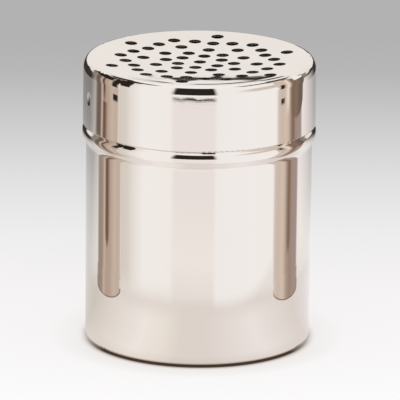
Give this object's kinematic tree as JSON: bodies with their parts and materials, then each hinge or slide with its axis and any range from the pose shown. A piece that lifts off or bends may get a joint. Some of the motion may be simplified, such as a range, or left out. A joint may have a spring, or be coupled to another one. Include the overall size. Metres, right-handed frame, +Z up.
{
  "type": "spice shaker",
  "caption": "Deep-drawn steel cup with a rolled bead and a press-on perforated cap, for shaking spice, salt, sugar or flour by hand.",
  "frame": {"origin": "middle of the base, on the plane of the foot ring that the shaker stands on", "axes": "+Z up along the common axis of cup and cap, -Y towards the front, +X to the right seen from the front"},
  "size_m": [0.0704, 0.0704, 0.0865],
  "materials": {
    "polished_steel": "stainless steel, polished bright"
  },
  "bodies": {
    "cup": {"cup": "polished_steel"},
    "cap": {"cap": "polished_steel"}
  },
  "joints": [
    {"name": "cap_lift", "type": "slide", "parent": "cup", "child": "cap", "axis": [0, 0, 1], "range_m": [0, 0.07]}
  ]
}
